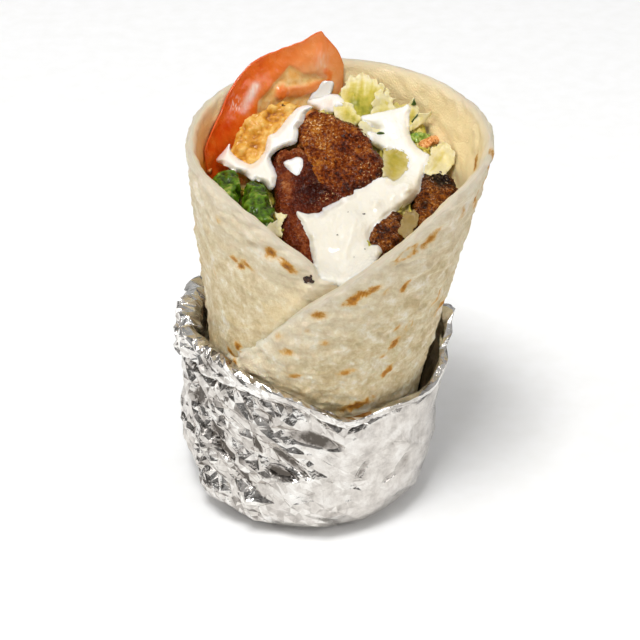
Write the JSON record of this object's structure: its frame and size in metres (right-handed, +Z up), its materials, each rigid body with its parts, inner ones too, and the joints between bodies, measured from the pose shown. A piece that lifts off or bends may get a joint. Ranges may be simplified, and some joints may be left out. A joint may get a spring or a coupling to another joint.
{
  "type": "filled tortilla wrap",
  "caption": "Rolled tortilla wrap filled with salad, glazed meat, tomato and white sauce, standing on end in a crumpled foil sleeve.",
  "frame": {"origin": "middle of the flat foil base that the wrap stands on", "axes": "+Z up; -Y is the front, where the two flaps of the tortilla cross in a V; +X is the right side seen from the front"},
  "size_m": [0.1066, 0.099, 0.1558],
  "materials": {
    "tortilla": "soft baked flour, matte, with toasted spots",
    "foil": "crumpled kitchen foil, bright",
    "lettuce": "moist leaf, satin",
    "seared_meat": "browned, with an oily glaze",
    "glazed_meat": "dark sticky glaze",
    "golden_crust": "fried crumb, satin",
    "green_pepper": "roasted skin, glossy",
    "tomato": "wet flesh and skin",
    "white_sauce": "creamy, wet"
  },
  "bodies": {
    "root": {"tortilla": "tortilla", "foil_sleeve": "foil", "lettuce_filling": "lettuce", "meat_slab": "seared_meat", "meat_front": "seared_meat", "meat_right": "seared_meat", "meat_glazed": "glazed_meat", "fried_piece": "golden_crust", "green_pepper_left": "green_pepper", "green_pepper_right": "green_pepper", "tomato_slice": "tomato", "sauce_pool": "white_sauce", "sauce_trail": "white_sauce"}
  },
  "joints": []
}
